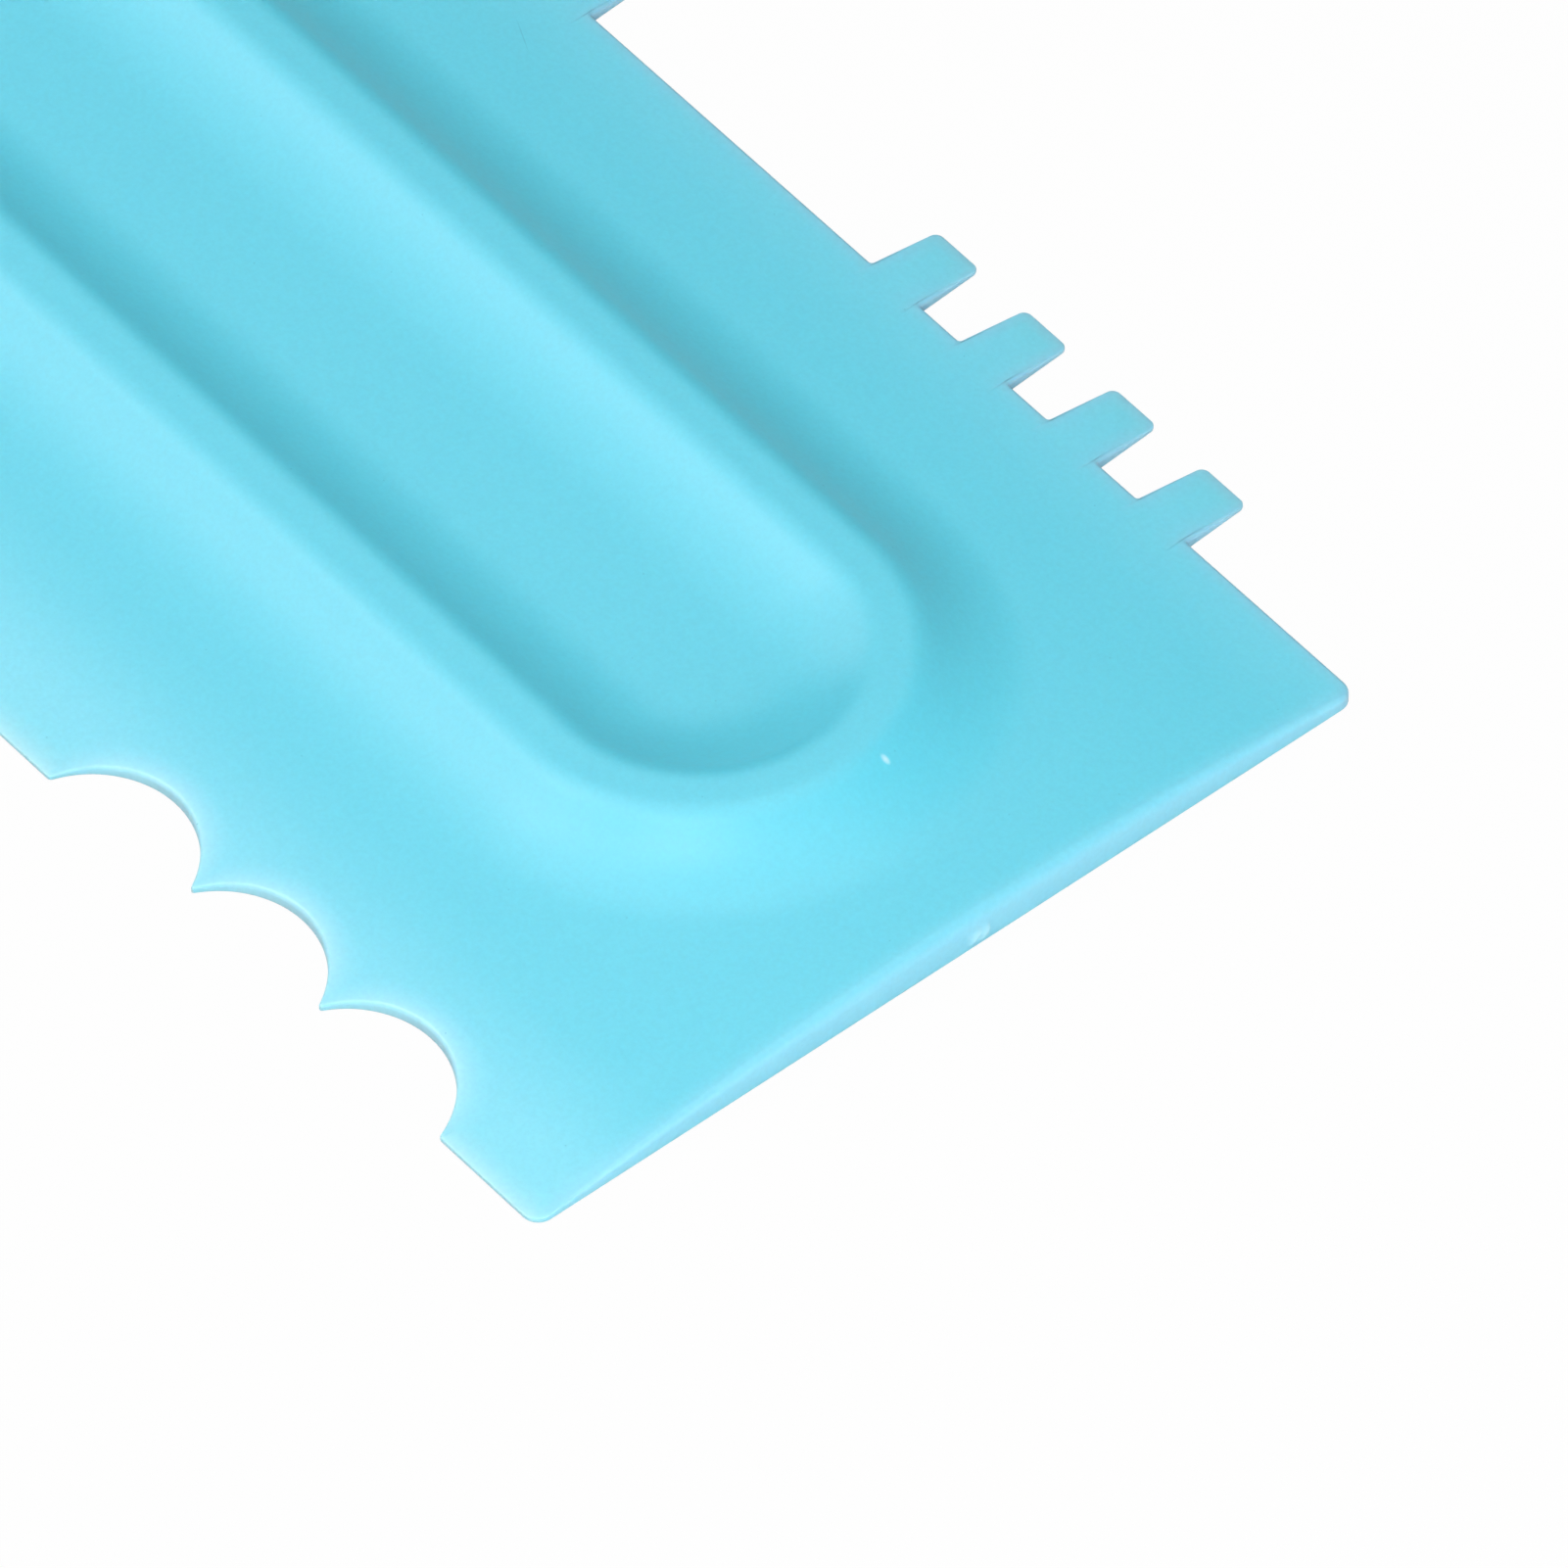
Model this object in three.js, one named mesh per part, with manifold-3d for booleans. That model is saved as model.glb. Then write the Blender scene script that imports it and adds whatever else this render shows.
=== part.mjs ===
// Cake comb: a flat moulded blade with square teeth along one edge, round bites along the other
// and a raised oval ridge round a sunk grip. Millimetres, +Z up. The comb lies on its flat back,
// its length along X, its teeth towards +Y and its bites towards -Y, with the origin under the
// middle of the whole. It is one moulding: each mesh is one region of it, and neighbouring regions
// share their faces.
import * as THREE from 'three';
import { mergeGeometries, mergeVertices } from 'three/addons/utils/BufferGeometryUtils.js';
import Module from 'manifold-3d';

// Blade
const BLADE_WIDTH = 77.2; // from the feet of the teeth to the bitten edge
const MIDDLE_LINE_SHIFT = 2.65; // from halfway across the blade to the crown's and the grip's middle
const CENTRE_THICKNESS = 3.1;
const EDGE_THICKNESS = 0.28; // where the crown runs out
const CORNER_RADIUS = 1.4;

// Square teeth
const TOOTH_GROUPS = 3;
const TEETH_PER_GROUP = 4;
const TOOTH_PITCH = 10;
const TOOTH_FOOT_WIDTH = 5.5;
const TOOTH_TIP_WIDTH = 4.8;
const TOOTH_HEIGHT = 6.1;
const TOOTH_TIP_RADIUS = 0.7;
const TOOTH_END_MARGIN = 18.95; // from the comb's end to the first tooth
const TOOTH_GROUP_GAP = 32.1;

// Round bites
const BITE_GROUPS = 3;
const BITES_PER_GROUP = 3;
const BITE_PITCH = 14.48;
const BITE_RADIUS = 7.95;
const BITE_CENTRE_OFFSET = 2.35; // from the bitten edge out to the circle's centre
const BITE_END_MARGIN = 18.4; // from the comb's end to the first circle's centre
const BITE_BACKING = 3; // depth of the bitten rail behind the bottom of a bite

// Grip ridge
const GRIP_FLOOR_WIDTH = 7.9; // flat floor between the ridge's inner feet
const GRIP_END_MARGIN = 6.75; // from the comb's end to the ridge's outer foot
const RIDGE_HEIGHT = 2.8;
const RIDGE_CREST_WIDTH = 3.8;
const RIDGE_SLOPE_RUN = 8.25; // from the crest's edge to the foot of the slope

// Facets of the round forms
const CROWN_STEPS = 24;
const GRIP_END_STEPS = 24;
const RIDGE_SLOPE_STEPS = 7;
const BITE_STEPS = 64;
const CORNER_STEPS = 4;

// Sizes that follow from the driving ones
const groupLength = (TEETH_PER_GROUP - 1) * TOOTH_PITCH + TOOTH_FOOT_WIDTH;
const groupPeriod = groupLength + TOOTH_GROUP_GAP;
const length = 2 * TOOTH_END_MARGIN + groupLength + (TOOTH_GROUPS - 1) * groupPeriod;
const halfLength = length / 2;
const bittenEdgeY = -(BLADE_WIDTH / 2 + MIDDLE_LINE_SHIFT);
const toothFootY = bittenEdgeY + BLADE_WIDTH;
const toothTipY = toothFootY + TOOTH_HEIGHT;
const crownHalf = Math.max(toothTipY, -bittenEdgeY); // the crown runs out at the edge farthest out
const biteCentreY = bittenEdgeY - BITE_CENTRE_OFFSET;
const railTopY = biteCentreY + BITE_RADIUS + BITE_BACKING;
const innerFootRadius = GRIP_FLOOR_WIDTH / 2;
const crestRadius = innerFootRadius + RIDGE_SLOPE_RUN + RIDGE_CREST_WIDTH / 2;
const outerFootRadius = 2 * crestRadius - innerFootRadius;
const gripStraightHalf = halfLength - GRIP_END_MARGIN - outerFootRadius;
const cutterTop = CENTRE_THICKNESS + RIDGE_HEIGHT;
const cutterMargin = CENTRE_THICKNESS; // how far a cutter runs past what it cuts

const wasm = await Module();
wasm.setup();

// The closed solid that a geometry's surface encloses.
function toSolid(geometry) {
  const bare = geometry.clone();
  bare.deleteAttribute('normal');
  bare.deleteAttribute('uv');
  const merged = mergeVertices(bare);
  const vertProperties = new Float32Array(merged.attributes.position.array);
  const triVerts = new Uint32Array(merged.index.array);
  return new wasm.Manifold(new wasm.Mesh({ numProp: 3, vertProperties, triVerts }));
}

function toGeometry(solid) {
  const mesh = solid.getMesh();
  const geometry = new THREE.BufferGeometry();
  geometry.setAttribute('position', new THREE.BufferAttribute(new Float32Array(mesh.vertProperties), 3));
  geometry.setIndex(new THREE.BufferAttribute(new Uint32Array(mesh.triVerts), 1));
  geometry.computeVertexNormals();
  return geometry;
}

// How far the crowned face lies below its middle line at a place across the width.
function crownDrop(y) {
  return (CENTRE_THICKNESS - EDGE_THICKNESS) * Math.min(Math.abs(y) / crownHalf, 1) ** 2;
}

// A straight bar with the blade's section: flat below, crowned above, thickest along the middle
// line, and level past the place where the crown runs out.
function crownedBar() {
  const reach = crownHalf + cutterMargin;
  const section = new THREE.Shape();
  section.moveTo(-reach, 0);
  section.lineTo(reach, 0);
  section.lineTo(reach, EDGE_THICKNESS);
  for (let i = 0; i <= CROWN_STEPS; i += 1) {
    const y = crownHalf * (1 - (2 * i) / CROWN_STEPS);
    section.lineTo(y, CENTRE_THICKNESS - crownDrop(y));
  }
  section.lineTo(-reach, EDGE_THICKNESS);
  section.closePath();
  const barLength = length + 2 * cutterMargin;
  const bar = new THREE.ExtrudeGeometry(section, { depth: barLength, bevelEnabled: false });
  bar.translate(0, 0, -barLength / 2);
  bar.rotateX(Math.PI / 2);
  bar.rotateZ(Math.PI / 2);
  return toSolid(bar);
}

const crowned = crownedBar();

// An upright prism of a plan outline, tall enough to cut right through the blade.
function uprightPrism(outline) {
  const depth = cutterTop + 2 * cutterMargin;
  const options = { depth, bevelEnabled: false, curveSegments: CORNER_STEPS };
  const prism = new THREE.ExtrudeGeometry(outline, options);
  prism.translate(0, 0, -cutterMargin);
  return toSolid(prism);
}

function rectangle(left, right, bottom, top) {
  const outline = new THREE.Shape();
  outline.moveTo(left, bottom);
  outline.lineTo(right, bottom);
  outline.lineTo(right, top);
  outline.lineTo(left, top);
  outline.closePath();
  return outline;
}

// The whole blade without its teeth: four soft corners in plan, and the bites cut from one edge.
function bittenBlade(biteXs) {
  const outline = new THREE.Shape();
  const endFlat = halfLength - CORNER_RADIUS;
  outline.moveTo(-endFlat, bittenEdgeY);
  outline.lineTo(endFlat, bittenEdgeY);
  outline.quadraticCurveTo(halfLength, bittenEdgeY, halfLength, bittenEdgeY + CORNER_RADIUS);
  outline.lineTo(halfLength, toothFootY - CORNER_RADIUS);
  outline.quadraticCurveTo(halfLength, toothFootY, endFlat, toothFootY);
  outline.lineTo(-endFlat, toothFootY);
  outline.quadraticCurveTo(-halfLength, toothFootY, -halfLength, toothFootY - CORNER_RADIUS);
  outline.lineTo(-halfLength, bittenEdgeY + CORNER_RADIUS);
  outline.quadraticCurveTo(-halfLength, bittenEdgeY, -endFlat, bittenEdgeY);
  const uncut = uprightPrism(outline).intersect(crowned);
  return biteXs.reduce((solid, x) => solid.subtract(biteCutter(x)), uncut);
}

function biteCutter(x) {
  const depth = cutterTop + 2 * cutterMargin;
  const cutter = new THREE.CylinderGeometry(BITE_RADIUS, BITE_RADIUS, depth, BITE_STEPS);
  cutter.rotateX(Math.PI / 2);
  cutter.translate(x, biteCentreY, cutterTop / 2);
  return toSolid(cutter);
}

// Centres of the bites along the comb, one list for each group, from the near end, +X. The groups
// are spread evenly between the two ends.
function biteGroups() {
  const groupHalf = ((BITES_PER_GROUP - 1) * BITE_PITCH) / 2;
  const firstGroupX = halfLength - BITE_END_MARGIN - groupHalf;
  const groupSpacing = (2 * firstGroupX) / Math.max(BITE_GROUPS - 1, 1);
  const groups = [];
  for (let group = 0; group < BITE_GROUPS; group += 1) {
    const groupX = firstGroupX - group * groupSpacing;
    const centres = [];
    for (let i = 0; i < BITES_PER_GROUP; i += 1) {
      centres.push(groupX + groupHalf - i * BITE_PITCH);
    }
    groups.push(centres);
  }
  return groups;
}

const bites = biteGroups();
const blade = bittenBlade(bites.flat());

// Oval of the grip at a distance from its middle line: two straight sides and two half circles.
function gripOval(radius) {
  const points = [];
  for (const side of [1, -1]) {
    for (let i = 0; i <= GRIP_END_STEPS; i += 1) {
      const angle = (Math.PI * i) / GRIP_END_STEPS;
      const x = side * (gripStraightHalf + radius * Math.sin(angle));
      const y = -side * radius * Math.cos(angle);
      points.push(new THREE.Vector2(x, y));
    }
  }
  return points;
}

// Web between the teeth, the bitten rail and the ridge's outer foot.
function webPlate() {
  const reach = halfLength + cutterMargin;
  const outline = rectangle(-reach, reach, railTopY, toothFootY + cutterMargin);
  outline.holes.push(new THREE.Path(gripOval(outerFootRadius)));
  return toGeometry(uprightPrism(outline).intersect(blade));
}

// Flat floor of the sunk grip, inside the ridge's inner foot.
function gripFloor() {
  const outline = new THREE.Shape(gripOval(innerFootRadius));
  return toGeometry(uprightPrism(outline).intersect(blade));
}

// Section of the ridge by distance from the grip's middle line and height: a flat crest between two
// hollow slopes that run out level at their feet.
function ridgeSection() {
  const crestEdge = RIDGE_CREST_WIDTH / 2;
  const slope = [];
  for (let i = 0; i <= RIDGE_SLOPE_STEPS; i += 1) {
    const share = i / RIDGE_SLOPE_STEPS;
    const away = crestEdge + RIDGE_SLOPE_RUN * (1 - share);
    slope.push(new THREE.Vector2(away, CENTRE_THICKNESS + RIDGE_HEIGHT * share ** 2));
  }
  const outer = slope.map((p) => new THREE.Vector2(crestRadius + p.x, p.y));
  const inner = slope.map((p) => new THREE.Vector2(crestRadius - p.x, p.y)).reverse();
  const foot = [new THREE.Vector2(innerFootRadius, 0), new THREE.Vector2(outerFootRadius, 0)];
  return [...foot, ...outer, ...inner];
}

// Lowers the raised points of a ridge piece with the crowned face that it grows from.
function followCrown(geometry) {
  const position = geometry.attributes.position;
  for (let i = 0; i < position.count; i += 1) {
    if (position.getZ(i) > CENTRE_THICKNESS / 2) {
      position.setZ(i, position.getZ(i) - crownDrop(position.getY(i)));
    }
  }
  return toGeometry(toSolid(geometry));
}

function reverseFaces(geometry) {
  geometry.setIndex(Array.from(geometry.index.array).reverse());
  return geometry;
}

// Half circle of the ridge at one end, closed by its section on the two cut faces.
function ridgeEnd(turn) {
  const section = ridgeSection();
  const face = new THREE.ShapeGeometry(new THREE.Shape(section));
  const sweep = new THREE.LatheGeometry([...section, section[0]], GRIP_END_STEPS, 0, Math.PI);
  const firstFace = face.clone().rotateY(-Math.PI / 2);
  const lastFace = reverseFaces(face.clone().rotateY(Math.PI / 2));
  const end = mergeGeometries([sweep, firstFace, lastFace]);
  end.rotateX(Math.PI / 2);
  end.translate(gripStraightHalf, 0, 0);
  end.rotateZ(turn);
  return followCrown(end);
}

// Straight stretch of the ridge along one side of the grip.
function ridgeSide(turn) {
  const outline = new THREE.Shape(ridgeSection());
  const depth = 2 * gripStraightHalf;
  const side = new THREE.ExtrudeGeometry(outline, { depth, bevelEnabled: false });
  side.translate(0, 0, -gripStraightHalf);
  side.rotateX(Math.PI / 2);
  side.rotateZ(Math.PI / 2);
  side.rotateZ(turn);
  return followCrown(side);
}

// One square tooth that narrows to a tip with rounded corners.
function squareTooth(x) {
  const foot = TOOTH_FOOT_WIDTH / 2;
  const tip = TOOTH_TIP_WIDTH / 2;
  const tipStart = tip + ((foot - tip) * TOOTH_TIP_RADIUS) / TOOTH_HEIGHT;
  const sideTopY = toothTipY - TOOTH_TIP_RADIUS;
  const outline = new THREE.Shape();
  outline.moveTo(x - foot, toothFootY);
  outline.lineTo(x + foot, toothFootY);
  outline.lineTo(x + tipStart, sideTopY);
  outline.quadraticCurveTo(x + tip, toothTipY, x + tip - TOOTH_TIP_RADIUS, toothTipY);
  outline.lineTo(x - tip + TOOTH_TIP_RADIUS, toothTipY);
  outline.quadraticCurveTo(x - tip, toothTipY, x - tipStart, sideTopY);
  outline.closePath();
  return toGeometry(uprightPrism(outline).intersect(crowned));
}

// Piece of the bitten rail between two places along the comb.
function railPiece(left, right) {
  const outline = rectangle(left, right, bittenEdgeY - cutterMargin, railTopY);
  return toGeometry(uprightPrism(outline).intersect(blade));
}

// The regions are shaped about the middle line, and the group puts the middle of the whole over the
// origin.
const comb = new THREE.Group();
comb.position.y = -(toothTipY + bittenEdgeY) / 2;

function addMesh(name, geometry) {
  const material = new THREE.MeshStandardMaterial({ color: '#74d5e8', roughness: 0.5, metalness: 0 });
  const mesh = new THREE.Mesh(geometry, material);
  mesh.name = name;
  comb.add(mesh);
}

addMesh('web_plate', webPlate());
addMesh('grip_floor', gripFloor());
addMesh('grip_ridge_near_end', ridgeEnd(0));
addMesh('grip_ridge_far_end', ridgeEnd(Math.PI));
addMesh('grip_ridge_tooth_side', ridgeSide(0));
addMesh('grip_ridge_bite_side', ridgeSide(Math.PI));

// Teeth are numbered from the near end, +X, to the far one.
for (let group = 0; group < TOOTH_GROUPS; group += 1) {
  for (let i = 0; i < TEETH_PER_GROUP; i += 1) {
    const fromEnd = TOOTH_END_MARGIN + group * groupPeriod + i * TOOTH_PITCH + TOOTH_FOOT_WIDTH / 2;
    const number = group * TEETH_PER_GROUP + i + 1;
    addMesh(`square_tooth_${number}`, squareTooth(halfLength - fromEnd));
  }
}

// The rail is parted at each bite's centre. A cusp stands between two bites of one group.
let cuspCount = 0;
for (const group of bites) {
  for (let i = 1; i < group.length; i += 1) {
    cuspCount += 1;
    addMesh(`bite_cusp_${cuspCount}`, railPiece(group[i], group[i - 1]));
  }
}

// A land takes up the straight edge before, between and after the groups.
let landRight = halfLength + cutterMargin;
let landCount = 0;
for (const group of [...bites, [-halfLength - cutterMargin]]) {
  landCount += 1;
  addMesh(`edge_land_${landCount}`, railPiece(group[0], landRight));
  landRight = group[group.length - 1];
}

export default comb;
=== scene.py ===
"""Cake comb: the looks of one moulded comb, laid out as an add-on and run as a script.

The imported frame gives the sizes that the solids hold. This file adds one seamless skin over all of
them, its satin polypropylene, and a pale stage with the photograph's camera. Lengths are in metres.
"""

import math

import bpy
import numpy as np
from bpy.props import FloatProperty, FloatVectorProperty, IntProperty, PointerProperty
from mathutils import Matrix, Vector


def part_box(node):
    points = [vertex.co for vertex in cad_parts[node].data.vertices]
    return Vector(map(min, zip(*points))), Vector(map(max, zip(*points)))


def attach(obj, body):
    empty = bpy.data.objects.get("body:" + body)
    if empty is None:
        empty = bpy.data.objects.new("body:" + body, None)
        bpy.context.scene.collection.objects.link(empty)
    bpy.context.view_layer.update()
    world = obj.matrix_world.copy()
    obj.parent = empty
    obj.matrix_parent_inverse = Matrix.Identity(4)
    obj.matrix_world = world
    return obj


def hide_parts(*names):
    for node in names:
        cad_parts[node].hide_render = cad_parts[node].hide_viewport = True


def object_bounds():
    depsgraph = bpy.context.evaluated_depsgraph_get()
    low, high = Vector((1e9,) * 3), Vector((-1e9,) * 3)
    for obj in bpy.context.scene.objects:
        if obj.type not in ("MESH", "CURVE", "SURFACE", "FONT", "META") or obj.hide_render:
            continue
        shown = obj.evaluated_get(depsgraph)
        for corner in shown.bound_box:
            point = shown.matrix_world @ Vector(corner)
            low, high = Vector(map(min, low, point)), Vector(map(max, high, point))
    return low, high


bl_info = {
    "name": "Cake comb",
    "version": (1, 0, 0),
    "blender": (4, 5, 0),
    "location": "View3D > Sidebar > Cake comb",
    "description": "Builds a moulded cake comb around its packed frame",
    "category": "Object",
}

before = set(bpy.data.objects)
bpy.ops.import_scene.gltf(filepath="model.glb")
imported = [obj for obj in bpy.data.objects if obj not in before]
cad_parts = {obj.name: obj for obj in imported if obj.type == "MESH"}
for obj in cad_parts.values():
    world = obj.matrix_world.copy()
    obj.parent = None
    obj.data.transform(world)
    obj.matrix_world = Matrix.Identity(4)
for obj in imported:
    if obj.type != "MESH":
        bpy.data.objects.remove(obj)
cad_low, cad_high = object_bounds()

MM = 0.001


def node_boxes(prefix):
    """Boxes of the solids whose names start with prefix, from the near end: solid, low or high, axis."""
    boxes = np.array([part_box(name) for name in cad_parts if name.startswith(prefix)], float)
    return boxes[np.argsort(-boxes[:, 1, 0])]


# Sizes that the frame holds
teeth = node_boxes("square_tooth_")
cusps = node_boxes("bite_cusp_")
floor_low, floor_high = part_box("grip_floor")
ridge_side_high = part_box("grip_ridge_tooth_side")[1]

HALF_LENGTH = cad_high.x
HALF_WIDTH = cad_high.y
TOOTH_FOOT_Y = float(teeth[:, 0, 1].min())
TOOTH_XS = teeth[:, :, 0].mean(axis=1)
TOOTH_FOOT_WIDTH = float(np.ptp(teeth[0, :, 0]))
BITE_XS = np.unique(cusps[:, :, 0].round(6))[::-1]
BITE_PITCH = float(np.ptp(cusps[0, :, 0]))
CUSP_POINT_Y = float(cusps[:, 0, 1].min())
CENTRE_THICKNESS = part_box("web_plate")[1].z
MIDDLE_Y = (floor_low.y + floor_high.y) / 2
CROWN_RATE = (CENTRE_THICKNESS - float(teeth[0, 1, 2])) / (TOOTH_FOOT_Y - MIDDLE_Y) ** 2
INNER_FOOT = floor_high.y - MIDDLE_Y
OUTER_FOOT = ridge_side_high.y - MIDDLE_Y
CREST_LINE = (INNER_FOOT + OUTER_FOOT) / 2
STRAIGHT_HALF = floor_high.x - INNER_FOOT
RIDGE_HEIGHT = cad_high.z - CENTRE_THICKNESS

# Layout of the skin's grid
ARC_SAMPLES = 33  # points on each arc before the outline is spaced out
LONG_STEP = 1.2 * MM  # spacing along straight edges
ROUND_STEP = math.radians(12)  # turning between neighbours on round edges
GATE_STEP = 0.12 * MM  # spacing beside the gate scar
BASE_INSET = 2 * MM  # from the ends to the loop where the plain plate begins
BASE_HALF_WIDTH = TOOTH_FOOT_Y - BASE_INSET
BASE_CORNER = 4 * MM
BASE_EASE_X = 95 * MM  # past the last bite, where the columns start to lean towards the corner
GROUP_GAP = 1.5  # bites more than this many pitches apart are in different groups
UNDERSIDE_RINGS = 2  # an oval and the base loop
BOTTOM_ROUND_RINGS = 4
WALL_RINGS = 7
TOP_ROUND_RINGS = 7
PLATE_SHARES = (0.05, 0.14, 0.26, 0.42, 0.66, 1.0)  # of the way from the rim to the base loop
APRON_SHARES = (0.35, 0.7)  # of the way from the base loop to the ridge
SLOPE_RINGS = 9
SHOULDER_RINGS = 5
CREST_RINGS = 2

# Light and shade painted into the plastic's colour
END_RIM = 0.28  # strength of the bright rim on the ends, against the bitten edge
# Painted light through the thin blade: paler between these shares of the crown's drop, less on the toothed
# side, which faces away from the lamps
THIN_START, THIN_END = 0.4, 0.8  # shares of the crown's drop between which the thin blade turns paler
TOOTHED_THIN = 0.6  # strength of that on the toothed side, against the bitten one

# Small marks
GATE_Y = -0.45 * MM
GATE_RISE, GATE_FALL = (-1.0, -0.2), (0.78, 0.92)  # shares of the gate scar's half length
GATE_FOOT, GATE_HEAD = (0.1, 0.2), (0.496, 0.62)  # shares of the blade's thickness
GATE_RIPPLE = 0.28  # share of the scar's height
GATE_WAVE_Y, GATE_WAVE_Z = 0.16 * MM, 0.35 * MM  # lengths over which a ripple's angle grows by 1 radian
GATE_WAVE_BEND = 2.2
SCAR_WHITENESS = 0.5
# Painted glint: a small white spot on the near end of the ridge's crest, painted in as a highlight
GLINT_PLACE = (89.9 * MM, 2.95 * MM, 5.0 * MM)
GLINT_SIZE = (0.62 * MM, 0.34 * MM, 0.62 * MM)
GLINT_TURN = math.radians(11)
HAIR_PLACE = (16.5 * MM, 30.0 * MM, 1.7 * MM)
HAIR_SIZE = (2.0 * MM, 0.07 * MM, 1.0 * MM)
HAIR_TURN = math.radians(-25)
HAIR_STRENGTH = 0.35
SPOT_CORE = 0.4  # share of a spot's radius inside which it has its full strength
FLECK_SPACING = 14 * MM
FLECK_RADIUS = 0.1 * MM
FLECK_STRENGTH = 0.5

# Grain and depth of the plastic
GRAIN_LOW, GRAIN_HIGH = 0.3, 0.7  # usual range of the grain's noise
GRAIN_DEPTH = 0.02 * MM
MOTTLE = 0.03  # how far the grain moves the brightness either way
ROUGHNESS_SWING = 0.04  # how far it moves the roughness either way
SCATTER_DEPTH = 0.7 * MM

# Stage
WHITE = (1, 1, 1, 1)
FLOOR_COLOUR = "#cccccc"
FLOOR_HALF = 3.0
FLOOR_GAP = 0.05 * MM
FLOOR_LIFT = 0.97  # share of the floor's look that is plain white
HORIZON_SHARE = 0.3  # of the room's strength
CEILING_RISE = 0.8  # upward share of a direction from which the room has its full strength
SENSOR_WIDTH = 36.0

# Softboxes: azimuth, elevation, distance, and the side of the square
SOFTBOXES = {
    "top": (math.radians(0), math.radians(88), 1.2, 1.2),
    "key": (math.radians(330), math.radians(45), 1.2, 0.8),
    "left": (math.radians(300), math.radians(60), 1.2, 0.62),
    "low": (math.radians(285), math.radians(30), 1.2, 0.8),
    "rear": (math.radians(240), math.radians(56), 1.2, 0.8),
    "high": (math.radians(25), math.radians(71), 1.2, 0.4),
    "end": (math.radians(82), math.radians(18), 0.45, 0.3),
}

# Sockets of the colour mix, which share their names with its other kinds
MIX_FACTOR, MIX_A, MIX_B, MIX_RESULT = 0, 6, 7, 2


def linear_colour(hex_code):
    """Linear red, green, blue and alpha of an sRGB hex colour."""
    srgb = np.array([int(hex_code[i:i + 2], 16) for i in (1, 3, 5)]) / 255
    linear = np.where(srgb <= 0.04045, srgb / 12.92, ((srgb + 0.055) / 1.055) ** 2.4)
    return (*linear.tolist(), 1.0)


def length_setting(name, description, millimetres):
    return FloatProperty(name=name, description=description, default=millimetres * MM, unit="LENGTH")


def share_setting(name, description, default):
    return FloatProperty(name=name, description=description, default=default, subtype="FACTOR")


def angle_setting(name, description, degrees):
    return FloatProperty(name=name, description=description, default=math.radians(degrees), subtype="ANGLE")


def power_setting(name, description, watts):
    return FloatProperty(name=name, description=description, default=watts, unit="POWER")


def colour_setting(name, description, hex_code):
    default = linear_colour(hex_code)
    return FloatVectorProperty(name=name, description=description, default=default, size=4, subtype="COLOR")


class CombShape(bpy.types.PropertyGroup):
    """Sizes of the skin that the solids leave plain."""

    columns: IntProperty(name="Columns", description="Points along each half of the outline", default=660)
    top_round: share_setting("Top round", "Radius of the upper edge as a share of the thickness", 0.3)
    bottom_round: length_setting("Bottom round", "Radius of the lower edge", 0.06)
    corner: length_setting("Corner", "Radius of the four corners in plan", 1.4)
    tooth_tip_width: length_setting("Tooth tip width", "Width of a square tooth at its tip", 4.8)
    tooth_tip_round: length_setting("Tooth tip round", "Radius of a tooth's corners", 0.7)
    tooth_root_round: length_setting("Tooth root round", "Radius where a tooth leaves the blade", 0.25)
    bite_radius: length_setting("Bite radius", "Radius of the round bites", 7.95)
    bite_end_round: length_setting("Bite end round", "Radius where a bite meets the straight edge", 0.4)
    cusp_round: length_setting("Cusp round", "Radius of the cusps between bites", 0.2)
    crest_width: length_setting("Crest width", "Flat top of the grip ridge", 3.8)
    crest_round: length_setting("Crest round", "Half the run over which the crest turns down", 0.9)
    gate_length: length_setting("Gate length", "Length of the gate scar on the near end", 2.5)
    gate_proud: length_setting("Gate proud", "How far the gate scar stands out", 0.28)
    rim_reach: length_setting("Rim reach", "How far in from the edge the plastic looks paler", 2.6)


class CombFinish(bpy.types.PropertyGroup):
    """Colours and texture of the plastic."""

    body: colour_setting("Body", "Colour of the thick plastic", "#66d0e4")
    # Painted light where light would come through the thinning blade
    thin: colour_setting("Thin", "Colour where the blade thins towards its long edges", "#82daed")
    # Painted light on the edges that face the lamps
    bright_rim: colour_setting("Bright rim", "Edges that the light shows through", "#aee7fa")
    # Painted shade on the edges that face away from the lamps
    dull_rim: colour_setting("Dull rim", "Edges that face away from the light", "#93cbe2")
    # Besides the gate scar's whitened plastic, this colour paints the glint on the ridge's crest, a painted
    # highlight
    scar: colour_setting("Scar", "Stress-whitened plastic of the gate scar and nick", "#c4eefb")
    fleck: colour_setting("Fleck", "Dust and flecks in the plastic", "#3fa3ba")
    grain: length_setting("Grain", "Spacing of the satin grain", 0.42)
    roughness: share_setting("Roughness", "Roughness of the satin mould finish", 0.34)


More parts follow.
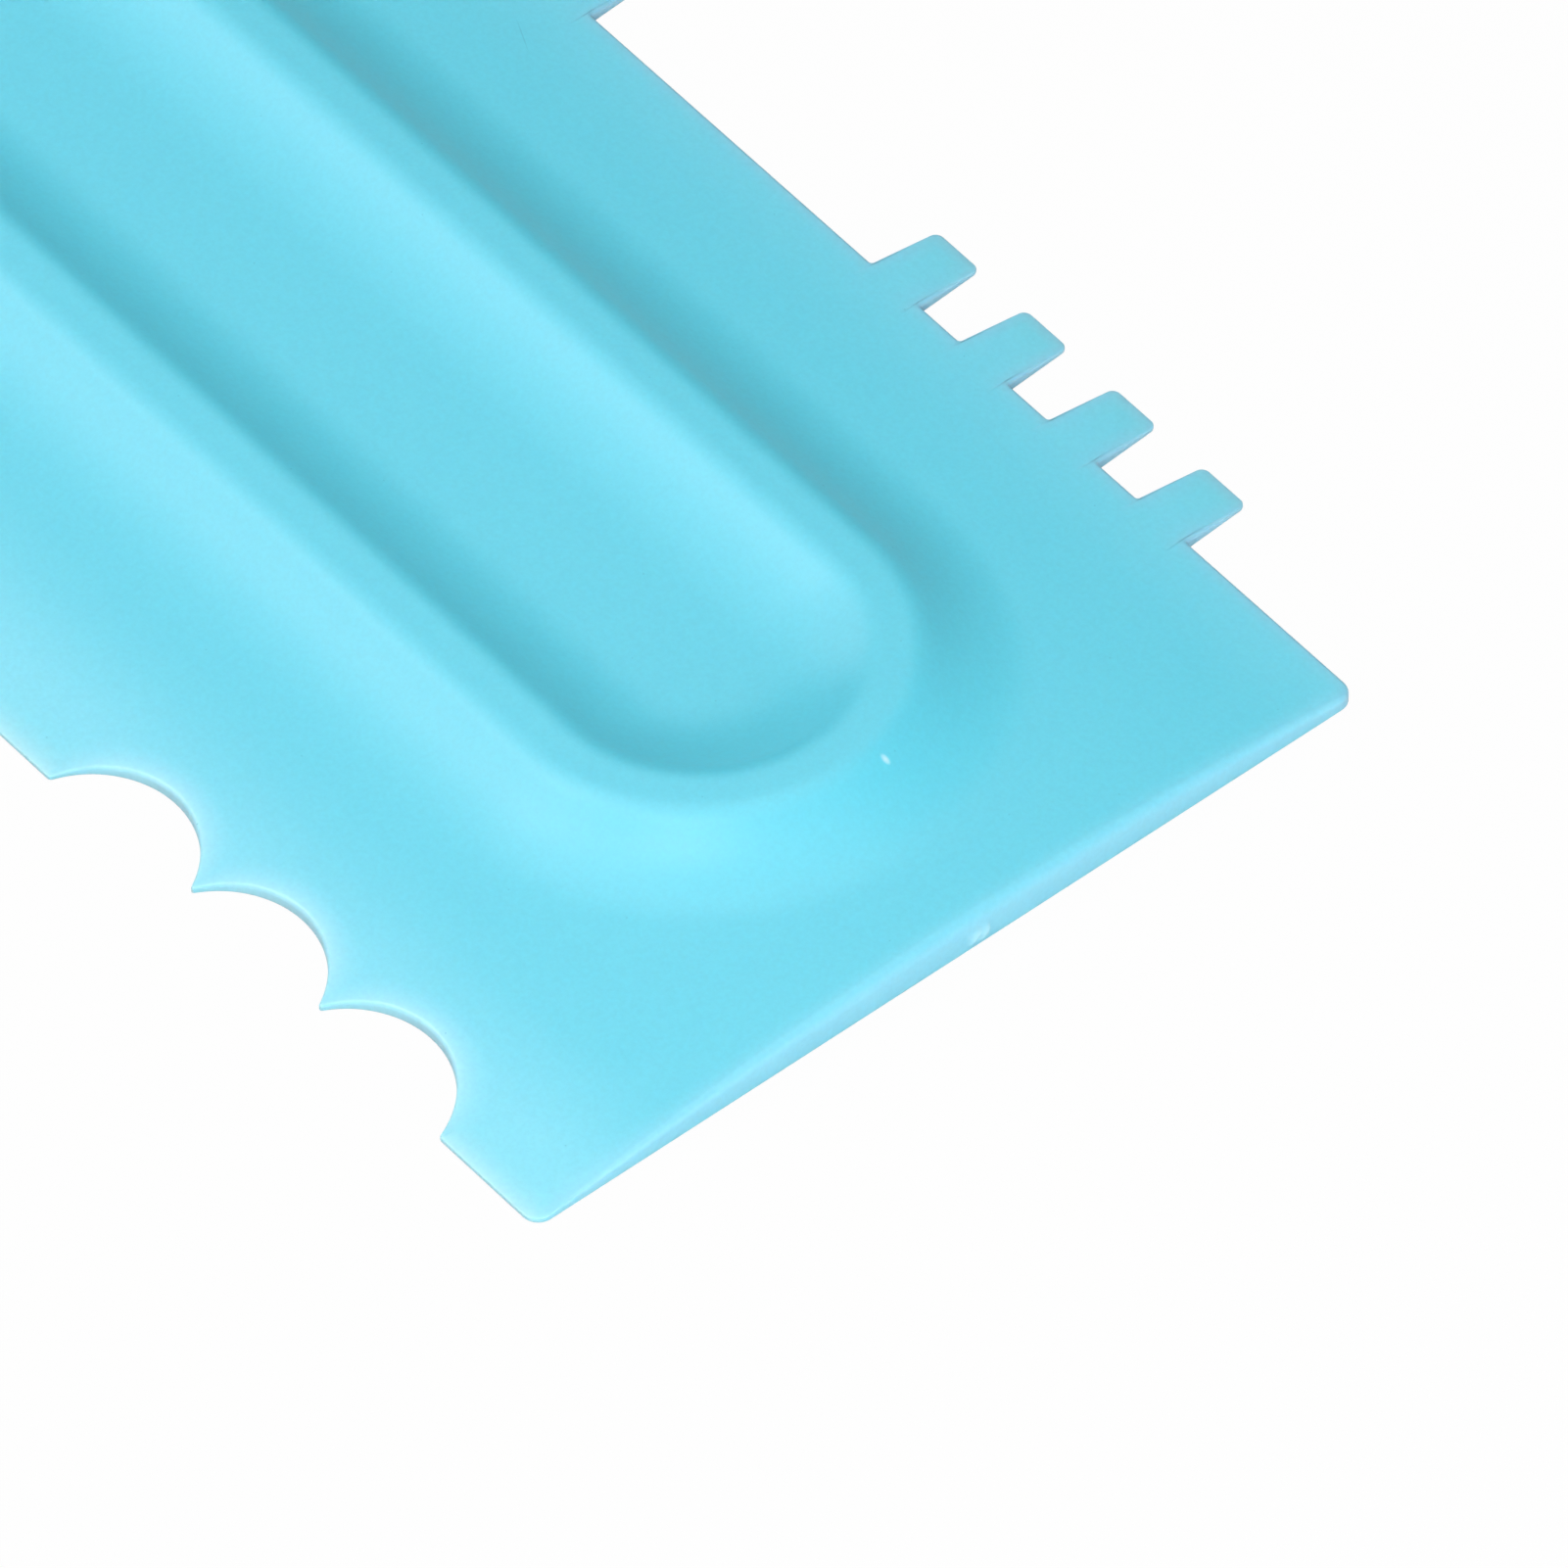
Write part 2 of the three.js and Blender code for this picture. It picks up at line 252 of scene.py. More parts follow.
class CombStage(bpy.types.PropertyGroup):
    """Camera and light."""

    azimuth: angle_setting("Azimuth", "Camera's direction round the comb", 49.95)
    elevation: angle_setting("Elevation", "Camera's height above the floor, as an angle", 49.32)
    distance: FloatProperty(
        name="Distance", description="Camera's distance from its aim", default=1.9508, unit="LENGTH"
    )
    focal_length: FloatProperty(
        name="Focal length", description="Lens in millimetres", default=620.6, subtype="DISTANCE_CAMERA"
    )
    aim: FloatVectorProperty(
        name="Aim",
        description="Point in the middle of the picture",
        default=(0.08369, -0.00124, 0.0),
        size=3,
        subtype="TRANSLATION",
    )
    room: FloatProperty(name="Room", description="Strength of the even light of the room", default=0.01)
    top: power_setting("Top", "Watts of the wide softbox overhead", 5.3)
    key: power_setting("Key", "Watts of the softbox over the bitten edge", 5.2)
    left: power_setting("Left", "Watts of the softbox high on the left", 1.2)
    low: power_setting("Low", "Watts of the softbox low on the left", 3.2)
    rear: power_setting("Rear", "Watts of the softbox across from the camera", 1.55)
    high: power_setting("High", "Watts of the small softbox over the near end", 1.6)
    end: power_setting("End", "Watts of the small softbox past the near end", 1.87)


def crown(y):
    """Height of the crowned face: it falls with the square of the distance from the middle line."""
    return CENTRE_THICKNESS - CROWN_RATE * (y - MIDDLE_Y) ** 2


def smooth_step(start, end, value):
    """0 before start, 1 after end, and 3 t^2 - 2 t^3 between them."""
    share = np.clip((value - start) / (end - start), 0, 1)
    return share * share * (3 - 2 * share)


def fillet_arcs(corners, radii):
    """Arcs that round the inner corners of a polyline, as rows of centre x, centre y, radius, start, end.

    The centre lies on the corner's bisector, radius / sin(half its angle) away. The angle grows along
    the arc on a left turn and falls on a right turn.
    """
    heading = np.diff(corners, axis=0)
    heading /= np.linalg.norm(heading, axis=1, keepdims=True)
    arriving, leaving = heading[:-1], heading[1:]
    cross = arriving[:, 0] * leaving[:, 1] - arriving[:, 1] * leaving[:, 0]
    sweep = np.arctan2(cross, (arriving * leaving).sum(axis=1))
    bisector = leaving - arriving
    bisector /= np.linalg.norm(bisector, axis=1, keepdims=True)
    away = radii / np.cos(sweep / 2)
    centre = corners[1:-1] + bisector * away[:, None]
    side = np.sign(sweep)
    start = np.arctan2(-side * arriving[:, 0], side * arriving[:, 1])
    return np.column_stack([centre, radii, start, start + sweep])


def toothed_arcs(shape):
    """Arcs of the toothed half of the outline: two corners, and root, tip, tip, root for each tooth."""
    foot, tip = TOOTH_FOOT_WIDTH / 2, shape.tooth_tip_width / 2
    across = np.array([foot, tip, -tip, -foot])
    up = np.array([TOOTH_FOOT_Y, HALF_WIDTH, HALF_WIDTH, TOOTH_FOOT_Y])
    xs = TOOTH_XS[:, None] + across
    tooth_corners = np.stack([xs, np.broadcast_to(up, xs.shape)], axis=-1).reshape(-1, 2)
    near = [(HALF_LENGTH, 0), (HALF_LENGTH, TOOTH_FOOT_Y)]
    far = [(-HALF_LENGTH, TOOTH_FOOT_Y), (-HALF_LENGTH, 0)]
    root, round_tip = shape.tooth_root_round, shape.tooth_tip_round
    tooth_radii = np.tile([root, round_tip, round_tip, root], len(TOOTH_XS))
    radii = np.concatenate([[shape.corner], tooth_radii, [shape.corner]])
    return fillet_arcs(np.concatenate([near, tooth_corners, far]), radii)


def bitten_arcs(shape):
    """Arcs of the bitten half of the outline, mirrored to +Y.

    Each bite is an arc about its own centre. Where bites meet, a small arc touches both circles. Where
    a bite meets the straight edge, a small arc touches the circle and the edge.
    """
    radius, half_pitch = shape.bite_radius, BITE_PITCH / 2
    centre_y = -CUSP_POINT_Y + math.sqrt(radius ** 2 - half_pitch ** 2)
    cusp, end = shape.cusp_round, shape.bite_end_round
    cusp_drop = math.sqrt((radius + cusp) ** 2 - half_pitch ** 2)
    cusp_angle = math.atan2(cusp_drop, half_pitch)
    end_y = HALF_WIDTH - end
    end_drop = centre_y - end_y
    end_run = math.sqrt((radius + end) ** 2 - end_drop ** 2)
    end_angle = math.atan2(end_drop, end_run)
    parted = -np.diff(BITE_XS) > GROUP_GAP * BITE_PITCH
    opens, closes = np.append(True, parted), np.append(parted, True)
    corner_y = HALF_WIDTH - shape.corner
    corner_x = HALF_LENGTH - shape.corner
    quarter = math.pi / 2
    arcs = [(corner_x, corner_y, shape.corner, 0, quarter)]
    for x, first, last in zip(BITE_XS, opens, closes):
        start = -(end_angle if first else cusp_angle)
        stop = (end_angle if last else cusp_angle) - math.pi
        if first:
            arcs.append((x + end_run, end_y, end, quarter, math.pi - end_angle))
        arcs.append((x, centre_y, radius, start, stop))
        if last:
            arcs.append((x - end_run, end_y, end, end_angle, quarter))
        else:
            arcs.append((x - half_pitch, centre_y - cusp_drop, cusp, cusp_angle, math.pi - cusp_angle))
    arcs.append((-corner_x, corner_y, shape.corner, quarter, math.pi))
    return np.array(arcs)


def half_outline(arcs, shape):
    """Points and outward normals from the near tip to the far tip, along arcs joined by straight lines.

    A point is its arc's centre plus the radius times (cos, sin) of its angle. The normal is that
    direction, turned round on a right turn. Points are spaced evenly in length over the long step plus
    turning over the round step, so round stretches get more of them.
    """
    share = np.linspace(0, 1, ARC_SAMPLES)
    start, sweep = arcs[:, 3:4], arcs[:, 4:5] - arcs[:, 3:4]
    angle = start + sweep * share
    radial = np.stack([np.cos(angle), np.sin(angle)], axis=-1)
    points = (arcs[:, None, 0:2] + arcs[:, None, 2:3] * radial).reshape(-1, 2)
    normals = (radial * np.sign(sweep)[:, :, None]).reshape(-1, 2)
    gate_end = (HALF_LENGTH, shape.gate_length)
    points = np.concatenate([[(HALF_LENGTH, 0), gate_end], points, [(-HALF_LENGTH, 0)]])
    normals = np.concatenate([[(1, 0), (1, 0)], normals, [(-1, 0)]])
    length = np.linalg.norm(np.diff(points, axis=0), axis=1)
    turning = np.arccos(np.clip((normals[1:] * normals[:-1]).sum(axis=1), -1, 1))
    effort = length / LONG_STEP + turning / ROUND_STEP
    effort[0] = length[0] / GATE_STEP
    along = np.concatenate([[0], np.cumsum(effort)])
    wanted = np.linspace(0, along[-1], shape.columns)
    values = np.concatenate([points, normals], axis=1)
    spaced = np.column_stack([np.interp(wanted, along, column) for column in values.T])
    points, normals = spaced[:, :2], spaced[:, 2:]
    return points, normals / np.linalg.norm(normals, axis=1, keepdims=True)


def outline_loop(shape):
    """The whole outline, counter-clockwise from the near tip: toothed half out, bitten half back."""
    toothed = half_outline(toothed_arcs(shape), shape)
    bitten = [values * (1, -1) for values in half_outline(bitten_arcs(shape), shape)]
    points = np.concatenate([toothed[0], bitten[0][-2:0:-1]])
    normals = np.concatenate([toothed[1], bitten[1][-2:0:-1]])
    return points, normals


def base_loop(outline, shape):
    """Partner of each outline point on a plain round-cornered rectangle inside the teeth and bites.

    On the long sides a partner has its point's own x, on the ends a scaled y, and round a corner the
    same angle about the rectangle's corner centre.
    """
    reach = np.abs(outline)
    edge_y = np.where(outline[:, 1] > 0, TOOTH_FOOT_Y, HALF_WIDTH)
    corner_x, corner_y = HALF_LENGTH - shape.corner, edge_y - shape.corner
    base_x = HALF_LENGTH - BASE_INSET - BASE_CORNER
    base_y = BASE_HALF_WIDTH - BASE_CORNER
    angle = np.arctan2(reach[:, 1] - corner_y, reach[:, 0] - corner_x)
    eased_x = np.interp(reach[:, 0], [0, BASE_EASE_X, corner_x], [0, BASE_EASE_X, base_x])
    on_end = reach[:, 1] <= corner_y
    on_end &= reach[:, 0] > corner_x
    on_side = reach[:, 0] <= corner_x
    x = base_x + BASE_CORNER * np.cos(angle)
    y = base_y + BASE_CORNER * np.sin(angle)
    x = np.select([on_end, on_side], [HALF_LENGTH - BASE_INSET, eased_x], x)
    y = np.select([on_end, on_side], [reach[:, 1] * base_y / corner_y, BASE_HALF_WIDTH], y)
    return np.stack([x, y], axis=1) * np.sign(outline)


def ridge_rise(away, shape):
    """Height of the ridge at a distance from its crest line.

    The slope is nothing on the crest, grows evenly to its steepest over the crest's round, and falls
    evenly to nothing at the foot. The height is what is left of that slope's integral.
    """
    crest = shape.crest_width / 2
    foot = OUTER_FOOT - CREST_LINE
    start, steepest = crest - shape.crest_round, crest + shape.crest_round
    slope = 2 * RIDGE_HEIGHT / (foot - start)
    turned = np.clip(away - start, 0, steepest - start)
    left = np.clip(foot - away, 0, foot - steepest)
    upper = RIDGE_HEIGHT - slope * turned ** 2 / (2 * (steepest - start))
    lower = slope * left ** 2 / (2 * (foot - steepest))
    return np.where(away < steepest, upper, lower)


def ridge_stations(shape):
    """Distances from the grip's middle line for the ridge's rings, from the outer foot to the inner."""
    crest = shape.crest_width / 2
    foot = OUTER_FOOT - CREST_LINE
    start, steepest = crest - shape.crest_round, crest + shape.crest_round
    slope = np.linspace(foot, steepest, SLOPE_RINGS, endpoint=False)
    shoulder = np.linspace(steepest, start, SHOULDER_RINGS, endpoint=False)
    top = np.linspace(start, 0, CREST_RINGS, endpoint=False)
    half = np.concatenate([slope, shoulder, top])
    return CREST_LINE + np.concatenate([half, [0], -half[::-1]])


def grip_ring(base, radius):
    """Oval at a distance from the grip's middle line: each base point moved straight in, or towards the
    end circle's centre where it lies past the straight part."""
    centre_x = np.clip(base[:, 0], -STRAIGHT_HALF, STRAIGHT_HALF)
    centre = np.column_stack([centre_x, np.full(len(base), MIDDLE_Y)])
    inward = base - centre
    return centre + radius * inward / np.linalg.norm(inward, axis=1, keepdims=True)


def gate_bump(rings, shape):
    """Share of the gate scar's height on the near end: a torn pad with one steep side, rippled by sines."""
    x, y, z = np.moveaxis(rings, -1, 0)
    place = (y - GATE_Y) / (shape.gate_length / 2)
    along = smooth_step(*GATE_RISE, place) * (1 - smooth_step(*GATE_FALL, place))
    height = z / CENTRE_THICKNESS
    upright = smooth_step(*GATE_FOOT, height) * (1 - smooth_step(*GATE_HEAD, height))
    wave = np.sin(y / GATE_WAVE_Y + GATE_WAVE_BEND * np.sin(z / GATE_WAVE_Z))
    ripple = 1 - GATE_RIPPLE + GATE_RIPPLE * wave
    near_end = x > HALF_LENGTH - shape.top_round * CENTRE_THICKNESS
    return along * upright * ripple * near_end


def skin_rings(shape):
    """Rings of the closed skin from the underside, round the edge, over the plate and ridge to the grip.

    Each ring is the outline moved in by an inset, or a blend towards the base loop, or an oval of the
    grip. Edges are quarter circles: inset r (1 - cos), height r (1 - sin) below the face.
    """
    outline, outward = outline_loop(shape)
    base = base_loop(outline, shape)
    thickness = crown(outline[:, 1])
    top_round = shape.top_round * thickness
    outer_foot = grip_ring(base, OUTER_FOOT)
    rings = [np.column_stack([plan, np.zeros(len(base))]) for plan in (outer_foot, base)]

    def inset_ring(inset, height):
        return np.column_stack([outline - outward * inset[:, None], height])

    bottom_round = np.full(len(outline), shape.bottom_round)
    for angle in np.linspace(0, math.pi / 2, BOTTOM_ROUND_RINGS):
        inset = bottom_round * (1 - math.sin(angle))
        rings.append(inset_ring(inset, bottom_round * (1 - math.cos(angle))))
    for share in np.linspace(0, 1, WALL_RINGS)[1:-1]:
        height = bottom_round + share * (thickness - top_round - bottom_round)
        rings.append(inset_ring(0 * height, height))
    for angle in np.linspace(0, math.pi / 2, TOP_ROUND_RINGS):
        inset = top_round * (1 - math.cos(angle))
        face = crown(outline[:, 1] - outward[:, 1] * inset)
        rings.append(inset_ring(inset, face - top_round * (1 - math.sin(angle))))
    rim = rings[-1][:, :2]
    for share in PLATE_SHARES:
        plan = rim + share * (base - rim)
        rings.append(np.column_stack([plan, crown(plan[:, 1])]))
    for share in APRON_SHARES:
        plan = base + share * (outer_foot - base)
        rings.append(np.column_stack([plan, crown(plan[:, 1])]))
    for station in ridge_stations(shape):
        plan = grip_ring(base, station)
        rise = ridge_rise(abs(station - CREST_LINE), shape)
        rings.append(np.column_stack([plan, crown(plan[:, 1]) + rise]))
    return np.stack(rings), outline, outward


def skin_faces(ring_count, loop_count):
    """Quads between neighbouring rings, and ladders of quads that close the underside and grip floor."""
    ring = np.arange(ring_count - 1)[:, None] * loop_count
    ring_after = ring + loop_count
    here = np.arange(loop_count)
    after = (here + 1) % loop_count
    quads = np.stack([ring + here, ring + after, ring_after + after, ring_after + here], axis=-1)
    half = loop_count // 2
    step = np.arange(1, half - 1)
    ladder = np.stack([step, step + 1, loop_count - step - 1, loop_count - step], axis=-1)
    tips = np.array([[0, 1, loop_count - 1], [half - 1, half, half + 1]])
    top = (ring_count - 1) * loop_count
    quads = np.concatenate([quads.reshape(-1, 4), ladder[:, ::-1], ladder + top])
    return quads.tolist() + tips[:, ::-1].tolist() + (tips + top).tolist()


def nearest_edge(plan, outline):
    """Distance of each point of a ring from the outline seen from above, and the nearest point's number."""
    gaps = ((plan[:, None, :] - outline[None, :, :]) ** 2).sum(axis=2)
    nearest = gaps.argmin(axis=1)
    return np.sqrt(np.take_along_axis(gaps, nearest[:, None], axis=1)[:, 0]), nearest


def skin_attributes(rings, outline, outward, bump, shape):
    """Painted bright and dull rims, painted light through the thin blade, and whiteness of the gate scar,
    each from 0 to 1.

    Painted light: the bitten edge, which faces the lamps, gets a broad bright rim, weaker on the ends.
    Painted shade: the toothed edge faces away from them and gets a narrow dull rim, with the square of what
    the bright one leaves.
    Closeness to the edge is squared for the bright rim, and taken to the fourth power for the dull one.
    Where less light comes in, the bright rim also fades down the wall, with the square of the height.
    Painted light through the thin blade follows the crown's drop, and is weaker on the toothed side.
    """
    # Painted light falls on the outline that faces the lamps: in full on the bitten edge, less on the ends,
    # none on the toothed edge
    facing = np.clip(END_RIM - (1 - END_RIM) * outward[:, 1], 0, 1)
    lit = facing * (1 - smooth_step(TOOTH_FOOT_Y - shape.rim_reach, TOOTH_FOOT_Y, outline[:, 1]))
    edge_rings = BOTTOM_ROUND_RINGS + WALL_RINGS - 2 + TOP_ROUND_RINGS + len(PLATE_SHARES)
    bright, dull = np.zeros((2, *rings.shape[:2]))
    for index in range(UNDERSIDE_RINGS + edge_rings):
        distance, nearest = nearest_edge(rings[index, :, :2], outline)
        closeness = np.clip(1 - distance / shape.rim_reach, 0, 1)
        height = rings[index, :, 2] / crown(rings[index, :, 1])
        shade = (1 - lit[nearest]) * (1 - height ** 2)
        bright[index] = lit[nearest] * closeness ** 2 * (1 - shade)
        dull[index] = (1 - lit[nearest]) ** 2 * closeness ** 4
    drop = (CENTRE_THICKNESS - crown(rings[:, :, 1])) / (CENTRE_THICKNESS - crown(HALF_WIDTH))
    # The painted light through the thin blade is weaker on the toothed side, which faces away from the
    # lamps
    side = np.where(rings[:, :, 1] < MIDDLE_Y, 1, TOOTHED_THIN)
    thin = side * smooth_step(THIN_START, THIN_END, drop)
    return {"bright_rim": bright, "dull_rim": dull, "thin": thin, "scar": SCAR_WHITENESS * bump}


def mesh_piece(name, points, faces, attributes, material):
    """Mesh object at the origin with smooth faces, point attributes and one material."""
    mesh = bpy.data.meshes.new(name)
    mesh.from_pydata(points.reshape(-1, 3), [], faces)
    for key, values in attributes.items():
        attribute = mesh.attributes.new(key, "FLOAT", "POINT")
        attribute.data.foreach_set("value", values.astype(np.float32).ravel())
    mesh.shade_smooth()
    mesh.materials.append(material)
    mesh.update()
    piece = bpy.data.objects.new(name, mesh)
    bpy.context.scene.collection.objects.link(piece)
    return piece


def add_node(tree, kind, inputs=None, **settings):
    """Adds a node, sets its settings, and links or sets its inputs by name or number."""
    node = tree.nodes.new(kind)
    for key, value in settings.items():
        setattr(node, key, value)
    for key, value in (inputs or {}).items():
        if isinstance(value, bpy.types.NodeSocket):
            tree.links.new(value, node.inputs[key])
        else:
            node.inputs[key].default_value = value
    return node


def new_material(name):
    material = bpy.data.materials.new(name)
    material.use_nodes = True
    material.node_tree.nodes.clear()
    return material, material.node_tree


def mixed_colour(tree, share, first, second):
    """Colour that goes from the first to the second as share goes from 0 to 1."""
    inputs = {MIX_FACTOR: share, MIX_A: first, MIX_B: second}
    return add_node(tree, "ShaderNodeMix", inputs, data_type="RGBA").outputs[MIX_RESULT]


def spot(tree, place, centre, turn, size, strength):
    """Mask of an oval spot: its strength in the middle, fading to 0 over the outer part."""
    local = add_node(
        tree,
        "ShaderNodeMapping",
        {"Vector": place, "Location": centre, "Rotation": (0, 0, turn), "Scale": size},
        vector_type="TEXTURE",
    ).outputs["Vector"]
    away = add_node(tree, "ShaderNodeVectorMath", {0: local}, operation="LENGTH").outputs["Value"]
    fade = {"Value": away, "From Min": SPOT_CORE, "From Max": 1.0, "To Min": strength, "To Max": 0.0}
    return add_node(tree, "ShaderNodeMapRange", fade).outputs["Result"]


def grained(tree, grain, middle, swing):
    """Value that the grain moves either way from its middle by the swing."""
    reach = {
        "Value": grain,
        "From Min": GRAIN_LOW,
        "From Max": GRAIN_HIGH,
        "To Min": middle - swing,
        "To Max": middle + swing,
    }
    return add_node(tree, "ShaderNodeMapRange", reach).outputs["Result"]


def moulded_polypropylene(finish):
    """Polypropylene, coloured in the mass and injection moulded against a satin-ground tool.

    To the eye it is a soft, slightly milky blue. Light through the thin blade is painted in, so the long
    edges and the rim are painted paler, with painted shade on the rims that face away from the lamps.
    The satin grain breaks the gloss into a broad soft sheen.
    """
    material, tree = new_material("satin_moulded_polypropylene")
    place = add_node(tree, "ShaderNodeTexCoord").outputs["Object"]
    bright_rim, dull_rim, thin, scar = (
        add_node(tree, "ShaderNodeAttribute", attribute_name=name).outputs["Fac"]
        for name in ("bright_rim", "dull_rim", "thin", "scar")
    )

    # A satin mould's real grain is some ten times finer. It is drawn coarser so that it shows.
    grain = add_node(
        tree,
        "ShaderNodeTexNoise",
        {"Vector": place, "Scale": 1 / finish.grain, "Detail": 2.0, "Roughness": 0.6},
    ).outputs["Fac"]
    # Painted light through the thin blade
    colour = mixed_colour(tree, thin, finish.body, finish.thin)
    # Painted light on the rims that face the lamps
    colour = mixed_colour(tree, bright_rim, colour, finish.bright_rim)
    # Painted shade on the rims that face away from the lamps
    colour = mixed_colour(tree, dull_rim, colour, finish.dull_rim)

    # Flecks of dust in the plastic, about 0.2 mm across and one to each 14 mm square, and a hair scratch.
    fleck = add_node(
        tree,
        "ShaderNodeTexVoronoi",
        {"Vector": place, "Scale": 1 / FLECK_SPACING},
        voronoi_dimensions="2D",
    ).outputs["Distance"]
    fleck_share = add_node(
        tree,
        "ShaderNodeMapRange",
        {"Value": fleck, "From Max": FLECK_RADIUS / FLECK_SPACING, "To Min": FLECK_STRENGTH, "To Max": 0.0},
    ).outputs["Result"]
    hair = spot(tree, place, HAIR_PLACE, HAIR_TURN, HAIR_SIZE, HAIR_STRENGTH)
    dark = add_node(tree, "ShaderNodeMath", {0: fleck_share, 1: hair}, operation="MAXIMUM").outputs["Value"]
    colour = mixed_colour(tree, dark, colour, finish.fleck)

    # Painted glint: a white spot on the ridge's crest that stands for a highlight
    painted_glint = spot(tree, place, GLINT_PLACE, GLINT_TURN, GLINT_SIZE, 1.0)
    white = add_node(tree, "ShaderNodeMath", {0: painted_glint, 1: scar}, operation="MAXIMUM").outputs["Value"]
    colour = mixed_colour(tree, white, colour, finish.scar)

    mottle = grained(tree, grain, 1.0, MOTTLE)
    colour = add_node(tree, "ShaderNodeHueSaturation", {"Color": colour, "Value": mottle}).outputs["Color"]
    roughness = grained(tree, grain, finish.roughness, ROUGHNESS_SWING)
    relief = add_node(
        tree, "ShaderNodeBump", {"Height": grain, "Strength": 0.2, "Distance": GRAIN_DEPTH}
    ).outputs["Normal"]
    shader = add_node(
        tree,
        "ShaderNodeBsdfPrincipled",
        {
            "Base Color": colour,
            "Roughness": roughness,
            "Normal": relief,
            "IOR": 1.6,
            "Subsurface Weight": 0.5,
            "Subsurface Radius": (0.6, 1.0, 1.2),
            "Subsurface Scale": SCATTER_DEPTH,
        },
    ).outputs["BSDF"]
    add_node(tree, "ShaderNodeOutputMaterial", {"Surface": shader})
    return material


def pale_floor_paint():
    """Matt pale paint. Seen directly it is lifted to white, and keeps a faint shadow."""
    material, tree = new_material("matt_pale_floor_paint")
    seen = add_node(tree, "ShaderNodeLightPath").outputs["Is Camera Ray"]
    lift = add_node(tree, "ShaderNodeMath", {0: seen, 1: FLOOR_LIFT}, operation="MULTIPLY").outputs["Value"]
    paint = add_node(tree, "ShaderNodeBsdfDiffuse", {"Color": linear_colour(FLOOR_COLOUR)}).outputs["BSDF"]
    glow = add_node(tree, "ShaderNodeEmission", {"Color": WHITE, "Strength": 1.0}).outputs["Emission"]
    shader = add_node(tree, "ShaderNodeMixShader", {0: lift, 1: paint, 2: glow}).outputs["Shader"]
    add_node(tree, "ShaderNodeOutputMaterial", {"Surface": shader})
    return material


class CAKE_COMB_OT_moulding(bpy.types.Operator):
    """Makes the comb's seamless skin over all the solids"""

    bl_idname = "cake_comb.moulding"
    bl_label = "Moulded comb"

    def execute(self, context):
        shape = context.scene.cake_comb_shape
        rings, outline, outward = skin_rings(shape)
        faces = skin_faces(*rings.shape[:2])
        bump = gate_bump(rings, shape)
        attributes = skin_attributes(rings, outline, outward, bump, shape)
        rings[:, :, 0] += shape.gate_proud * bump
        material = moulded_polypropylene(context.scene.cake_comb_finish)
        comb = mesh_piece("comb_moulding", rings, faces, attributes, material)
        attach(comb, "root")
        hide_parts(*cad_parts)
        return {"FINISHED"}


class CAKE_COMB_OT_stage(bpy.types.Operator):
    """Makes the floor, the lights and the camera"""

    bl_idname = "cake_comb.stage"
    bl_label = "Stage"

    def execute(self, context):
        stage = context.scene.cake_comb_stage
        make_floor()
        make_world(context.scene, stage)
        for name, placing in SOFTBOXES.items():
            make_softbox(context.scene, stage, name, *placing)
        make_camera(context.scene, stage)
        context.scene.view_settings.view_transform = "Standard"
        return {"FINISHED"}


def make_floor():
    """A square just under the comb's flat back."""
    corners = FLOOR_HALF * np.array([(-1, -1, 0), (1, -1, 0), (1, 1, 0), (-1, 1, 0)])
    corners[:, 2] = -FLOOR_GAP
    floor = mesh_piece("floor", corners, [(0, 1, 2, 3)], {}, pale_floor_paint())


def make_world(scene, stage):
    """Even light that dims towards the horizon, as in a studio with a white ceiling."""
    world = bpy.data.worlds.new("studio_room")
    world.use_nodes = True
    tree = world.node_tree
    tree.nodes.clear()
    ray = add_node(tree, "ShaderNodeTexCoord").outputs["Generated"]
    height = add_node(tree, "ShaderNodeSeparateXYZ", {0: ray}).outputs["Z"]
    horizon = stage.room * HORIZON_SHARE
    strength = add_node(
        tree,
        "ShaderNodeMapRange",
        {"Value": height, "From Max": CEILING_RISE, "To Min": horizon, "To Max": stage.room},
    ).outputs["Result"]
    light = add_node(
        tree, "ShaderNodeBackground", {"Color": WHITE, "Strength": strength}
    ).outputs["Background"]
    add_node(tree, "ShaderNodeOutputWorld", {"Surface": light})
    scene.world = world


def direction(azimuth, elevation):
    """Unit vector towards a place: azimuth 0 is -Y, and grows towards +X."""
    flat = math.cos(elevation)
    return Vector((flat * math.sin(azimuth), -flat * math.cos(azimuth), math.sin(elevation)))


